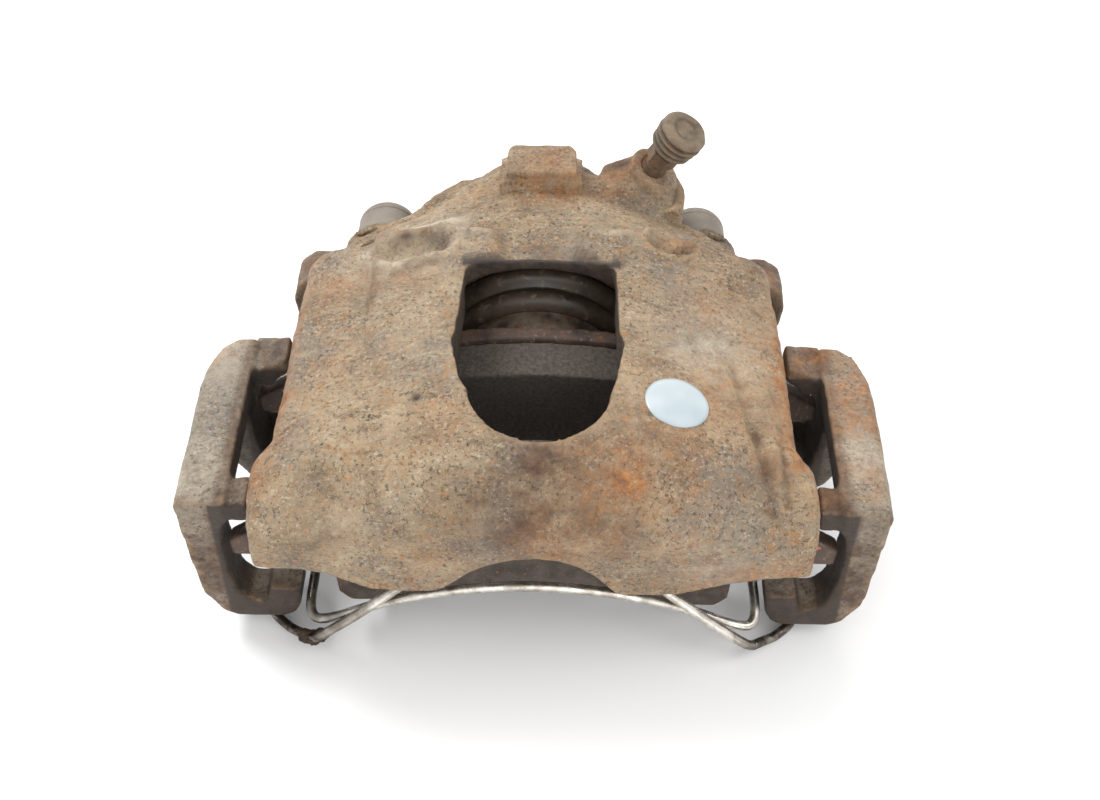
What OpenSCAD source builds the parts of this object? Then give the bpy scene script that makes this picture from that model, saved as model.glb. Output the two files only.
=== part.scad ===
// Floating single-piston brake caliper with its carrier, pads, guide pins and retaining spring.
// +X runs along the disc's edge, +Y points inboard along the wheel axle, +Z points away from the axle.
// The origin is midway between the carrier's two mounting holes, on the face that meets the knuckle.

/* [Disc] */
// Diameter of the brake disc that the caliper straddles
disc_d = 300; // [298:1:302]
// Thickness of a new disc
disc_t = 25; // [24:0.5:26]

/* [Housing] */
// Piston diameter
piston_d = 57; // [56:0.5:57.5]
// Height of the bridge's crown above the ends of the carrier's legs
crown_z = 80; // [79:0.5:82]
// Width of the bridge between its side edges
bridge_w = 146; // [144:1:147]
// Outer diameter of the cylinder
cylinder_d = 71; // [70:0.5:72]

/* [Carrier] */
// Overall width across the two legs
carrier_w = 204; // [203:0.5:205]
// Distance between the two mounting holes
mount_spacing = 140; // [138:1:141]
// Diameter of a mounting hole
mount_d = 12; // [10:0.5:13]
// Distance between the two guide pins
pin_spacing = 105; // [104:0.5:106]
// Guide pin diameter
pin_d = 9.5; // [9:0.5:10]

/* [Pads] */
// Thickness of the outboard pad's friction material
friction_t = 12; // [10:0.5:12]
// Thickness of the inboard backing plate
plate_t = 5.3; // [5:0.1:5.6]

/* [Spring] */
// Diameter of the retaining spring's wire
wire_d = 3; // [2.8:0.1:3.2]

/* [Hidden] */
$fn = 64;

// Drawing datum: X = 0 on the centre plane, Y = 0 in the middle of the disc, Z = 0 at the legs' ends.
mount_y = 73;
mount_z = 10;
disc_z = -89;
disc_r = disc_d / 2;

// Cylinder, bore and piston
axis_z = 31;
piston_r = piston_d / 2;
piston_front = 33;
piston_back = 87;
piston_hollow_r = 20;
piston_hollow_end = 72;
bore_r = piston_r + 0.05;
bore_end = 97;
cylinder_front = 57;
cylinder_end = 107;
seal_y = 61;
seal_w = 4;
seal_r = piston_r + 4.5;
boot_seat_r = 33;
boot_seat_end = 60;
ring_inner_r = piston_r + 3.4;
ring_front = 58;
boot_groove_y = 41.5;
boot_groove_w = 2.6;
boot_room_r = 38.5;
boot_mouth_r = 46.5;

// Pads: the inboard pad lies between disc and piston, the outboard pad between disc and fingers
disc_gap = 0.3;
inner_face = disc_t / 2 + disc_gap;
inner_plate = 27;
shim_t = 0.7;
outer_face = -disc_t / 2 - disc_gap;
outer_plate = outer_face - friction_t;
outer_plate_t = 6;
pad_top_r = disc_r + 1;
pad_room_r = disc_r + 4;

// Legs: a channel section that holds the ends of the pads
leg_front = -33;
leg_slot_front = -20;
leg_slot_back = 21;
leg_back = 45;
wing_end = 34;
wing_x = 87.1;
shelf_x = 69.3;
hook_x = 80.6;
half_w = carrier_w / 2;

// Inboard plate of the carrier, with the guide pin towers and the mounting ears
plate_front = 58;
tower_end = 72;
ear_r = 11;
mount_x = mount_spacing / 2;
pin_x = pin_spacing / 2;
pin_z = 45;
pin_r = pin_d / 2;
bar_front = 24;
bar_back = 41.5;
bar_bottom = -4.5;
bar_top = 1.5;
bar_relief_r = 33;

// Guide bushes in the housing's ears
bush_r = 9.9;
bush_front = 76.5;
bush_end = 97;
bush_land = 84;
ear_front = 77;
ear_end = 86;
ear_wall_r = 13;
head_y = 92.5;
head_end = 96.5;
head_r = 7;
cap_end = 102.5;

// Bleed screw: its foot on the casting and the lean of its axis
bleed_foot = [36.8, 93, 77.5];
bleed_turn = -27;
bleed_tilt = 29;
bleed_r = 4;

// Hose port in the block on top of the cylinder
port_z = 72.2;
port_r = 5;
port_y = 100;
port_len = 10;
port_face_r = 8.5;
block_w = 23;
block_front = 84.5;
block_top = 80.4;

// Fingers: inboard face, and where the spring's ends go in
finger_y = outer_plate - outer_plate_t - shim_t - 0.1;
spring_x = 38.5;
spring_y = -37.5;
spring_top = 37;

module to_row_frame()
    translate([0, -mount_y, -mount_z]) children();

// Extrudes an outline drawn in X and Z from y0 to y1
module along_y(y0, y1)
    translate([0, y1, 0]) rotate([90, 0, 0]) linear_extrude(height = y1 - y0) children();

// Extrudes an outline drawn in Y and Z from x0 to x1
module along_x(x0, x1)
    translate([x0, 0, 0]) rotate([90, 0, 90]) linear_extrude(height = x1 - x0) children();

// A round bar along Y
module bar_y(r, y0, y1, x = 0, z = 0)
    translate([x, y1, z]) rotate([90, 0, 0]) cylinder(h = y1 - y0, r = r);

// Turns an outline of [radius, y] points about the Y axis through (x, z)
module turned_y(points, x = 0, z = 0)
    translate([x, 0, z]) rotate([-90, 0, 0]) rotate_extrude() polygon(points);

module both_sides() {
    children();
    mirror([1, 0, 0]) children();
}

module at_bleed_axis()
    translate(bleed_foot) rotate([0, 0, bleed_turn]) rotate([0, bleed_tilt, 0]) children();

// ---- Lofted skin: each station is [y, half width, crown z, edge z, lowest z] ----
loft_steps = 14;
function crown(s, u) = s[3] + (s[2] - s[3]) * (1 - u * u);
function section(s) = concat(
    [for (i = [0 : loft_steps]) let (u = 2 * i / loft_steps - 1)
        [(s[1] - 2) * u, s[0], crown(s, u)]],
    [[s[1], s[0], s[3] - 3], [s[1], s[0], s[4]], [-s[1], s[0], s[4]], [-s[1], s[0], s[3] - 3]]
);
module loft(stations) {
    rings = [for (s = stations) section(s)];
    n = len(rings[0]);
    m = len(rings);
    points = [for (ring = rings) each ring];
    lower = [for (j = [0 : m - 2], i = [0 : n - 1])
        [j * n + i, (j + 1) * n + i, (j + 1) * n + (i + 1) % n]];
    upper = [for (j = [0 : m - 2], i = [0 : n - 1])
        [j * n + i, (j + 1) * n + (i + 1) % n, j * n + (i + 1) % n]];
    first = [for (i = [0 : n - 1]) i];
    last = [for (i = [n - 1 : -1 : 0]) (m - 1) * n + i];
    polyhedron(points, concat([first, last], lower, upper), convexity = 6);
}

// ---- Round wire along a route ----
wire_sides = 8;
function unit(v) = v / norm(v);
function route_dir(p, i) =
    unit(unit(p[min(i + 1, len(p) - 1)] - p[i] + (i == len(p) - 1 ? p[i] - p[i - 1] : [0, 0, 0]))
        + unit(p[i] - p[max(i - 1, 0)] + (i == 0 ? p[1] - p[0] : [0, 0, 0])));
function side_of(d, up) = unit(cross(d, up));
function wire_ring(c, d, up, r) = let (a = side_of(d, up), b = cross(d, a))
    [for (k = [0 : wire_sides - 1]) c + r * (cos(360 * k / wire_sides) * a + sin(360 * k / wire_sides) * b)];
module wire(route, r, up) {
    rings = [for (i = [0 : len(route) - 1]) wire_ring(route[i], route_dir(route, i), up[i], r)];
    n = wire_sides;
    m = len(route);
    points = [for (ring = rings) each ring];
    sides = [for (j = [0 : m - 2], i = [0 : n - 1])
        [j * n + i, (j + 1) * n + i, (j + 1) * n + (i + 1) % n, j * n + (i + 1) % n]];
    first = [for (i = [0 : n - 1]) i];
    last = [for (i = [n - 1 : -1 : 0]) (m - 1) * n + i];
    polyhedron(points, concat([first, last], sides), convexity = 12);
}

// ---- Housing ----
stations = [
    [-47.5, bridge_w / 2 + 3, crown_z - 24, 50, 20],
    [-46, bridge_w / 2 + 4.8, crown_z - 17, 54, 20],
    [-42, bridge_w / 2 + 5.9, crown_z - 9.5, 58.5, 20],
    [-36, bridge_w / 2 + 6.2, crown_z - 4.5, 61.8, 20],
    [-30, bridge_w / 2 + 6.2, crown_z - 1.8, 63.8, 20],
    [-25.5, bridge_w / 2 + 5.6, crown_z - 0.7, 65, 20],
    [-22, bridge_w / 2 + 3, crown_z - 0.2, 65.6, 20],
    [-19, bridge_w / 2 + 1.2, crown_z, 66, 20],
    [-6, bridge_w / 2 + 0.5, crown_z, 67, 20],
    [30, bridge_w / 2, crown_z, 67, 20],
    [50, bridge_w / 2 - 0.5, crown_z - 0.5, 67, 20],
    [56, bridge_w / 2 - 0.7, crown_z - 1, 66.5, 40],
    [57.5, bridge_w / 2 - 1.5, crown_z - 1, 66.4, 45],
    [61, 67, crown_z - 1.2, 66.2, 45],
    [70, 60.5, crown_z - 2, 65.5, 45],
    [78, 54, crown_z - 2.5, 64, 45],
    [86, 43, crown_z - 3, 63.5, 45],
    [95, 36, crown_z - 3, 65, 45],
    [102, 30, crown_z - 5, 64, 45],
    [106, 24, crown_z - 8, 60, 45]
];

// Lower outline of the fingers, with the arch between them
module finger_outline()
    polygon([
        [-90, 100], [-90, 44.5], [-79.5, 44.5], [-79, 42.3], [-76.8, 41.6], [-72, 41.4], [-66, 41.2],
        [-58, 39.3], [-52.5, 36], [-46, 32.5], [-38.3, 31.3], [-28.5, 31.5], [-25.5, 33],
        [-22, 36.3], [-17.9, 40.6], [-12, 44.5], [-5, 47], [1, 47.6], [7, 46.8], [13, 44],
        [18, 39.5], [22, 34.2], [24, 31.5], [34, 31.2], [42, 32.4], [48, 34.8], [55, 37.5],
        [64.7, 40], [72, 41], [76.8, 41.6], [79, 42.3], [79.5, 44.5], [90, 44.5], [90, 100]
    ]);

// Opening in the bridge, seen from above
module window_outline() {
    translate([1, -9.7]) circle(r = 20);
    polygon([
        [-18.9, -11], [-21.4, -6.5], [-24.6, 8.9], [-23.6, 13], [-21.9, 40], [-20, 42], [21.2, 42],
        [23.1, 40], [23.7, 13], [25, 8.9], [22.4, -6.5], [20.9, -11]
    ]);
}

module cylinder_body()
    turned_y([
        [0, cylinder_front], [cylinder_d / 2, cylinder_front], [cylinder_d / 2, cylinder_end - 7],
        [cylinder_d / 2 - 2.5, cylinder_end - 2.5], [cylinder_d / 2 - 8, cylinder_end], [0, cylinder_end]
    ], 0, axis_z);

// Ear for a guide bush and the web that ties it to the cylinder
module housing_ear() {
    bar_y(ear_wall_r, ear_front, ear_end, pin_x, pin_z);
    hull() {
        bar_y(ear_wall_r - 1, ear_front, ear_end - 2, pin_x - 3, pin_z - 1, $fn = 32);
        bar_y(20, ear_front, ear_end + 10, 12, axis_z + 2, $fn = 32);
    }
}

// Hose block on top of the cylinder, seen from above
module block_outline()
    polygon([
        [-block_w / 2, block_front], [block_w / 2, block_front], [block_w / 2, port_y - 3],
        [block_w / 2 - 2, port_y], [-block_w / 2 + 2, port_y], [-block_w / 2, port_y - 3]
    ]);

module bleed_boss()
    hull() {
        at_bleed_axis() translate([0, 0, -4]) cylinder(r = 7.8, h = 3, $fn = 32);
        translate([36, 90, 52]) cylinder(r = 11, h = 17, $fn = 32);
        translate([14, 88, 52]) cylinder(r = 10, h = 18, $fn = 32);
    }

module housing() color("#7b6a5a") to_row_frame() difference() {
    union() {
        difference() {
            loft(stations);
            // room for disc and pads, and the space under the inboard end of the bridge
            bar_y(pad_room_r, finger_y, cylinder_front + 0.01, 0, disc_z);
            translate([-100, -60, -60]) cube([200, 60 + cylinder_front, 85]);
            // finger outline and the lean of the fingers' outer face
            difference() {
                translate([-100, -60, 0]) cube([200, 60 + finger_y + 0.01, 70]);
                along_y(-61, finger_y + 1) finger_outline();
            }
            along_x(-100, 100) polygon([[-47.6, 66], [-46, 26], [-46, 0], [-70, 0], [-70, 66]]);
        }
        cylinder_body();
        both_sides() housing_ear();
        translate([0, 0, 60]) linear_extrude(height = block_top - 60) block_outline();
        bleed_boss();
    }
    // window, boot room and the room for the carrier's towers
    translate([0, 0, 60]) linear_extrude(height = 40) window_outline();
    turned_y([
        [0, 36], [boot_mouth_r, 36], [boot_mouth_r, 40], [boot_room_r, 54], [boot_room_r, cylinder_front],
        [0, cylinder_front]
    ], 0, axis_z);
    both_sides() translate([38, 49.5, -60]) cube([60, ear_front - 49.5, 118.5]);
    // piston bore, seal groove and boot seat
    bar_y(bore_r, cylinder_front - 1, bore_end, 0, axis_z);
    bar_y(seal_r + 0.05, seal_y, seal_y + seal_w, 0, axis_z);
    bar_y(boot_seat_r + 0.05, cylinder_front - 1, boot_seat_end, 0, axis_z);
    // bush bores
    both_sides() bar_y(bush_r + 0.05, ear_front - 1, ear_end + 10, pin_x, pin_z);
    // hose port with its spot face, and its drilling into the bore
    bar_y(port_face_r, port_y, port_y + 10, 0, port_z);
    bar_y(port_r, port_y - port_len, port_y + 10, 0, port_z);
    translate([0, port_y - port_len + 2, axis_z + 20]) cylinder(r = 1.5, h = port_z - axis_z - 20);
    // bleed screw hole and its drilling
    at_bleed_axis() translate([0, 0, -16]) cylinder(r = bleed_r + 0.05, h = 20);
    at_bleed_axis() translate([0, 0, -30]) cylinder(r = 1.5, h = 20);
    // holes for the spring's ends
    both_sides() translate([spring_x, spring_y, 20]) cylinder(r = wire_d / 2 + 0.4, h = spring_top - 19);
}

// ---- Piston, seal and boot ----
module piston() color("#8f8b84") to_row_frame()
    turned_y([
        [0, piston_back], [piston_r - 1.5, piston_back], [piston_r, piston_back - 3],
        [piston_r, boot_groove_y + boot_groove_w], [piston_r - 1.6, boot_groove_y + boot_groove_w],
        [piston_r - 1.6, boot_groove_y], [piston_r, boot_groove_y], [piston_r, piston_front + 0.8],
        [piston_r - 0.8, piston_front], [piston_hollow_r, piston_front],
        [piston_hollow_r, piston_hollow_end - 4], [piston_hollow_r - 4, piston_hollow_end],
        [0, piston_hollow_end]
    ], 0, axis_z);

module piston_seal() color("#1d1c1b") to_row_frame()
    turned_y([
        [piston_r + 0.04, seal_y + 0.05], [seal_r, seal_y + 0.05],
        [seal_r, seal_y + seal_w - 0.05], [piston_r + 0.04, seal_y + seal_w - 0.05]
    ], 0, axis_z);

// Mid-line of the boot as [radius beyond the piston, y], from the piston's groove to the cylinder
boot_line = [
    [-0.9, 42.8], [1.4, 42.9], [3, 43.6], [3.7, 45.2], [3.4, 47], [2.4, 48.4], [2.3, 49.8], [3.8, 50.7],
    [5.6, 51.6], [6.3, 53.2], [5.8, 54.8], [4.5, 55.6], [3.3, 56.4], [2.7, 57.8], [2.7, 59.6]
];
boot_t = 1.1;
function across(line, i) =
    let (d = unit(line[min(i + 1, len(line) - 1)] - line[max(i - 1, 0)])) [-d[1], d[0]];
module dust_boot() color("#2b2620") to_row_frame()
    turned_y(concat(
        [for (i = [0 : len(boot_line) - 1])
            [piston_r, 0] + boot_line[i] + across(boot_line, i) * boot_t / 2],
        [for (i = [len(boot_line) - 1 : -1 : 0])
            [piston_r, 0] + boot_line[i] - across(boot_line, i) * boot_t / 2]
    ), 0, axis_z);

module boot_ring() color("#6c6860") to_row_frame()
    turned_y([
        [ring_inner_r, ring_front], [boot_seat_r, ring_front], [boot_seat_r, boot_seat_end - 0.1],
        [ring_inner_r, boot_seat_end - 0.1]
    ], 0, axis_z);

// ---- Pads ----
// Backing plate: an arched body, with an ear each side that runs in the leg's channel
module plate_outline(ear_low, foot_z) {
    intersection() {
        translate([0, disc_z]) circle(r = pad_top_r, $fn = 180);
        difference() {
            polygon([
                [-58.5, 10], [-55, foot_z], [55, foot_z], [58.5, 10], [59.5, ear_low], [88, ear_low],
                [88.6, ear_low + 4], [88.6, 39], [86, 43.4], [78.5, 44], [78.5, 52], [66, 60],
                [66, 90], [-66, 90], [-66, 60], [-78.5, 52], [-78.5, 44], [-86, 43.4], [-88.6, 39],
                [-88.6, ear_low + 4], [-88, ear_low], [-59.5, ear_low]
            ]);
            translate([0, disc_z]) circle(r = disc_r - 47, $fn = 180);
        }
    }
}

// Friction block: a sector of a ring
module friction_outline()
    intersection() {
        translate([0, disc_z]) difference() {
            circle(r = disc_r - 0.5, $fn = 180);
            circle(r = disc_r - 44, $fn = 180);
        }
        polygon([[-50, 0], [50, 0], [62, 40], [62, 80], [-62, 80], [-62, 40]]);
    }

module inner_pad_plate() color("#3a332c") to_row_frame()
    along_y(inner_plate, inner_plate + plate_t) plate_outline(27, 6);

module inner_pad_friction() color("#4a443d") to_row_frame()
    along_y(inner_face, inner_plate) friction_outline();

module inner_pad_shim() color("#5f5a52") to_row_frame()
    along_y(inner_plate + plate_t, inner_plate + plate_t + shim_t)
        intersection() {
            offset(delta = -2.5) plate_outline(27, 6);
            translate([-62, 0]) square([124, 100]);
        }

// Three sprung fingers that hold the pad in the piston's hollow
module inner_pad_clip() color("#77736b") to_row_frame() translate([0, 0, axis_z]) {
    y0 = inner_plate + plate_t + shim_t;
    bar_y(11, y0, y0 + 1);
    for (a = [90, 210, 330]) rotate([0, -a, 0]) {
        translate([8, y0, -4]) cube([11, 1, 8]);
        translate([18.4, y0, -4]) cube([1, 14, 8]);
    }
}

module outer_pad_plate() color("#3a332c") to_row_frame()
    along_y(outer_plate - outer_plate_t, outer_plate) plate_outline(27, 6);

module outer_pad_friction() color("#4a443d") to_row_frame()
    along_y(outer_plate, outer_face) friction_outline();

module outer_pad_shim() color("#5f5a52") to_row_frame()
    along_y(outer_plate - outer_plate_t - shim_t, outer_plate - outer_plate_t)
        intersection() {
            offset(delta = -2.5) plate_outline(27, 6);
            translate([-62, 0]) square([124, 100]);
        }

// ---- Carrier ----
// Outline of a leg without its channel
module leg_outline()
    polygon([
        [wing_x, 53.5], [half_w - 2.5, 53.2], [half_w, 51], [half_w - 0.8, 42], [half_w - 2, 26],
        [half_w - 3.2, 11], [half_w - 8, 2.5], [half_w - 12, 0], [75.5, 0], [72, 2], [70, 6],
        [shelf_x, 14.5], [79, 13.5], [79.8, 8], [84.5, 7.8], [88, 12], [89.8, 22], [90.2, 34],
        [89, 42], [wing_x, 44.6]
    ]);

// Hook over the pad's ear
module hook_outline()
    polygon([
        [wing_x + 1, 44.8], [wing_x + 1, 51], [wing_x, 50.8], [hook_x, 54.2], [hook_x, 45.2],
        [83, 44.8]
    ]);

module leg() {
    difference() {
        along_y(leg_front, leg_back) leg_outline();
        // slot for the disc
        bar_y(pad_room_r, leg_slot_front, leg_slot_back, 0, disc_z);
        // the wing's rounded end and its front corner, seen from above
        translate([0, 0, 40]) linear_extrude(height = 20) polygon([
            [half_w + 1, 14.5], [half_w, 14.5], [half_w - 1.2, 21], [half_w - 5, 30],
            [half_w - 10, wing_end], [wing_x - 1, wing_end], [wing_x - 8, 60], [half_w + 9, 60]
        ]);
    }
    difference() {
        union() {
            along_y(leg_front + 0.6, leg_slot_front) hook_outline();
            along_y(leg_slot_back, leg_back - 4) hook_outline();
            // the inboard hook reaches a little further in than the outboard one
            along_y(leg_slot_back, 33) polygon([[hook_x + 1, 46], [hook_x + 1, 54], [76, 56.5], [75.6, 51]]);
        }
        along_x(60, 100) polygon([[-24, 56], [-19, 46], [-19, 60], [-24, 60]]);
        along_x(60, 100) polygon([[32, 60], [32, 56], [42, 45], [50, 45], [50, 60]]);
    }
}

// Tower for a guide pin with its rounded outer end, the mounting ear and the rail back to the leg
module carrier_side() {
    leg();
    along_y(plate_front, tower_end) polygon([
        [59, 0], [mount_x, 0], [77, 3], [79, 10], [77, 19], [73.5, 26], [75.5, 34], [78.6, 40],
        [79.4, 47], [78, 53.5], [73, 57], [60, 57.2], [50, 56.6], [43.5, 53], [41, 46], [42, 38],
        [46, 30], [52, 22], [55, 10]
    ]);
    bar_y(ear_r, plate_front, mount_y, mount_x, mount_z);
    // rail between the leg's inboard end and the mounting ear
    hull() {
        translate([72, leg_back - 8, 0.5]) cube([22, 2, 16]);
        translate([68, mount_y - 15, 0.5]) cube([12, 15, 16]);
    }
    // root of the crossbar
    translate([52, bar_front, bar_bottom]) cube([24, bar_back - bar_front, bar_top - bar_bottom]);
    hull() {
        translate([52, bar_back - 2, bar_bottom]) cube([20, 2, 6]);
        translate([56, mount_y - 15, -1]) cube([16, 2, 12]);
    }
}

module carrier() color("#75695d") to_row_frame() difference() {
    union() {
        both_sides() carrier_side();
        translate([-60, bar_front, bar_bottom]) cube([120, bar_back - bar_front, bar_top - bar_bottom]);
    }
    // relief in the crossbar under the piston and its boot
    bar_y(bar_relief_r, bar_front - 1, bar_back + 1, 0, axis_z);
    both_sides() bar_y(mount_d / 2, plate_front - 1, mount_y + 1, mount_x, mount_z);
    both_sides() bar_y(pin_r + 0.25, plate_front - 1, mount_y + 1, pin_x, pin_z);
}

// ---- Guide pins, bushes and caps ----
module guide_pin() difference() {
    turned_y([
        [0, plate_front - 2], [pin_r - 0.6, plate_front - 2], [pin_r + 0.2, plate_front],
        [pin_r + 0.2, tower_end - 0.5], [pin_r, tower_end], [pin_r, head_y], [head_r, head_y],
        [head_r, head_end - 0.8], [head_r - 0.8, head_end], [0, head_end]
    ], pin_x, pin_z);
    // hexagon socket in the head
    translate([pin_x, head_end + 1, pin_z]) rotate([90, 0, 0]) cylinder(r = 4.04, h = 6, $fn = 6);
}

module guide_bush() turned_y([
    [pin_r + 0.05, bush_front], [bush_r - 1, bush_front], [bush_r, bush_front + 0.4], [bush_r, bush_end],
    [8.95, bush_end], [8.95, 94], [7.6, 94], [7.6, bush_land], [pin_r + 0.05, bush_land]
], pin_x, pin_z);

module guide_cap() turned_y([
    [0, 100], [7.6, 100], [7.6, 94.3], [8.9, 94.3], [8.9, bush_end], [bush_r, bush_end],
    [bush_r, cap_end - 4], [bush_r - 0.7, cap_end - 2], [bush_r - 2.2, cap_end - 0.6],
    [bush_r - 4, cap_end], [0, cap_end]
], pin_x, pin_z);

module guide_pin_right() color("#8a8478") to_row_frame() guide_pin();
module guide_pin_left() color("#8a8478") to_row_frame() mirror([1, 0, 0]) guide_pin();
module guide_bush_right() color("#3b3833") to_row_frame() guide_bush();
module guide_bush_left() color("#3b3833") to_row_frame() mirror([1, 0, 0]) guide_bush();
module guide_cap_right() color("#55524c") to_row_frame() guide_cap();
module guide_cap_left() color("#55524c") to_row_frame() mirror([1, 0, 0]) guide_cap();

// ---- Bleed screw and its dust cap ----
module bleed_screw() color("#6e6a62") to_row_frame() at_bleed_axis() difference() {
    union() {
        translate([0, 0, -14]) cylinder(r = bleed_r, h = 14.5);
        translate([0, 0, -16]) cylinder(r1 = 1.6, r2 = bleed_r, h = 2.01);
        translate([0, 0, 0.5]) cylinder(r = 3.7, h = 3);
        translate([0, 0, 3.5]) cylinder(r = 5.2, h = 4.5, $fn = 6);
        translate([0, 0, 8]) cylinder(r = 3.4, h = 9.6);
    }
    translate([0, 0, -8]) cylinder(r = 1.1, h = 30);
    translate([-6, 0, -10]) rotate([0, 90, 0]) cylinder(r = 0.9, h = 12);
}

module bleed_cap() color("#4c433b") to_row_frame() at_bleed_axis() translate([0, 0, 10.4]) rotate_extrude()
    polygon([
        [3.45, 0], [6.4, 0], [7.1, 0.7], [7.1, 1.7], [6.7, 2.2], [6.7, 2.6], [7.5, 3.1], [7.5, 4.1],
        [7.1, 4.6], [7.1, 5], [7.8, 5.5], [7.8, 8.2], [6.9, 9.4], [0, 9.8], [0, 7.4], [3.45, 7.4]
    ]);

// ---- Retaining spring: from a finger, round the foot of the leg and across to the other side ----
spring_half = [
    [spring_x, spring_y, spring_top], [spring_x, spring_y, 24.5], [40, -38.4, 22.4], [44.5, -39.6, 19],
    [52, -41, 12.8], [60, -42, 6.4], [64, -42.2, 3.2], [66.2, -41.4, 1.5], [69.4, -38.6, -0.4],
    [74, -35.2, -1.9], [79, -30, -2.2], [80.5, -24, -2.2], [80, -19.5, -2], [77.5, -17, -0.6],
    [74, -16.6, 2.4], [70.5, -16.8, 5], [67.6, -18.4, 6.6], [67, -22, 7.2], [67, -31, 7.4],
    [66.4, -35.2, 6], [64, -37.2, 5.6], [58, -37.6, 7.6], [48, -37.6, 12.8], [36, -37.6, 17.6],
    [24, -37.6, 21], [12, -37.6, 23], [0, -37.6, 23.8]
];
spring_n = len(spring_half);
spring_route = concat(
    [for (p = spring_half) [-p[0], p[1], p[2]]],
    [for (i = [spring_n - 2 : -1 : 0]) spring_half[i]]
);
module retaining_spring() color("#b3aea4") to_row_frame()
    wire(spring_route, wire_d / 2, [for (p = spring_route) abs(p[0]) < 66.9 ? [0, 1, 0.02] : [0, 0.02, 1]]);

carrier();
housing();
piston();
piston_seal();
dust_boot();
boot_ring();
inner_pad_plate();
inner_pad_friction();
inner_pad_shim();
inner_pad_clip();
outer_pad_plate();
outer_pad_friction();
outer_pad_shim();
guide_pin_left();
guide_pin_right();
guide_bush_left();
guide_bush_right();
guide_cap_left();
guide_cap_right();
bleed_screw();
bleed_cap();
retaining_spring();
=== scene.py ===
import math

import bmesh
import bpy
import numpy as np
from mathutils import Matrix, Vector
from mathutils.bvhtree import BVHTree


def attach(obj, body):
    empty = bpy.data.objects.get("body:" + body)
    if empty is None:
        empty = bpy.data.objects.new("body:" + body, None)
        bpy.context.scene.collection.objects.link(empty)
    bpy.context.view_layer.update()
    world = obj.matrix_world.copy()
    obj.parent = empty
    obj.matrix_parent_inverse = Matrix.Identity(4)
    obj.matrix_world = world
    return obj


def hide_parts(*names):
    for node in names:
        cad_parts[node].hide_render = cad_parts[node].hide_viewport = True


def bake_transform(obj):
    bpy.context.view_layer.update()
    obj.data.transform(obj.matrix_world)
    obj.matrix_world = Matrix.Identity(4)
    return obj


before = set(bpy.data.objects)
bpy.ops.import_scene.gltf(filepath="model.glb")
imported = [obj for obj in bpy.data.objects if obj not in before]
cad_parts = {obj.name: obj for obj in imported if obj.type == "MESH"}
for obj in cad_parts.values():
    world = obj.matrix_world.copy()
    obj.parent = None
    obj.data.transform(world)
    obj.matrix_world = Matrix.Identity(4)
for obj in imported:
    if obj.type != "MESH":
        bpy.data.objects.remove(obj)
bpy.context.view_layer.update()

# The drawing datum of the part, in metres in the row frame. Positions below are millimetres from it,
# with X to the right, Y inboard along the axle and Z up, unless they are given in metres.
DATUM = np.array([0.0, -0.073, -0.010])
FLOOR_Z = -0.01455  # metres
DISC_Z = -89.0  # axis of the brake disc
PAD_ROOM_R = 154.0  # room for the disc and the pads, round that axis
AXIS_Z = 31.0  # axis of the cylinder
PIN_X, PIN_Z = 52.5, 45.0  # axes of the two guide pins
BOLT_X, BOLT_Z = 70.0, 10.0  # axes of the two mounting holes
WINDOW_X = 0.8  # middle of the bridge's window
BLEED_AT = (36.8, 93, 77.5)  # foot of the bleed screw
LEFT_HOLLOW = (-39, 53, 12, 7.5)  # X, Y and both radii of the hollow in the left cheek
RIGHT_DIMPLE = (41, 57, 7.5, 6)  # the same for the dimple in the right cheek
CAST_PIT = (-33, -13)  # X and Y of the small pit left of the window


def row(x, y, z):
    """A drawing point in millimetres as a point of the row frame in metres."""
    return tuple(np.array([x, y, z]) / 1000 + DATUM)


# ---------------------------------------------------------------- numbers on meshes
def hashed(i, seed):
    """A fixed number from 0 to 1 for each whole-numbered cell."""
    h = (i[:, 0] * 374761393 + i[:, 1] * 668265263 + i[:, 2] * 1442695041 + seed * 974634777)
    h &= 0xFFFFFFFF
    h = ((h ^ (h >> 13)) * 1274126177) & 0xFFFFFFFF
    return ((h ^ (h >> 16)) & 0xFFFFFF) / 0xFFFFFF


def value_noise(p, size, seed):
    """Smooth noise from -1 to 1 with cells of that size in mm."""
    q = p / size
    cell = np.floor(q).astype(np.int64)
    f = q - cell
    f = f * f * (3 - 2 * f)
    total = np.zeros(len(p))
    for corner in np.ndindex(2, 2, 2):
        weight = np.ones(len(p))
        for k in range(3):
            weight = weight * (f[:, k] if corner[k] else 1 - f[:, k])
        total += weight * hashed(cell + np.array(corner), seed)
    return total * 2 - 1


def fbm(p, size, octaves, seed):
    """Noise with finer and finer layers, each half the size and half the height of the last."""
    return sum(value_noise(p, size / 2 ** k, seed + k) * 0.5 ** k for k in range(octaves))


def ease(v, low, high):
    """From 0 at low to 1 at high, with soft ends; low may be the larger one."""
    t = np.clip((v - low) / (high - low), 0, 1)
    return t * t * (3 - 2 * t)


def hump(v, centre, width):
    """1 at the centre, fading to both sides."""
    return np.exp(-((v - centre) / width) ** 2)


def blob(p, x, y, z, r):
    """1 at a point, fading all round it."""
    return np.exp(-((p[:, 0] - x) ** 2 + (p[:, 1] - y) ** 2 + (p[:, 2] - z) ** 2) / r ** 2)


def blobs(p, *rows):
    """Several soft spots added up, each given as X, Y, Z, radius and strength."""
    return sum(strength * blob(p, x, y, z, r) for x, y, z, r, strength in rows)


def oval(p, x, y, rx, ry):
    """Distance from the middle of an oval seen from above, where 1 is its edge."""
    return np.sqrt(((p[:, 0] - x) / rx) ** 2 + ((p[:, 1] - y) / ry) ** 2)


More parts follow.
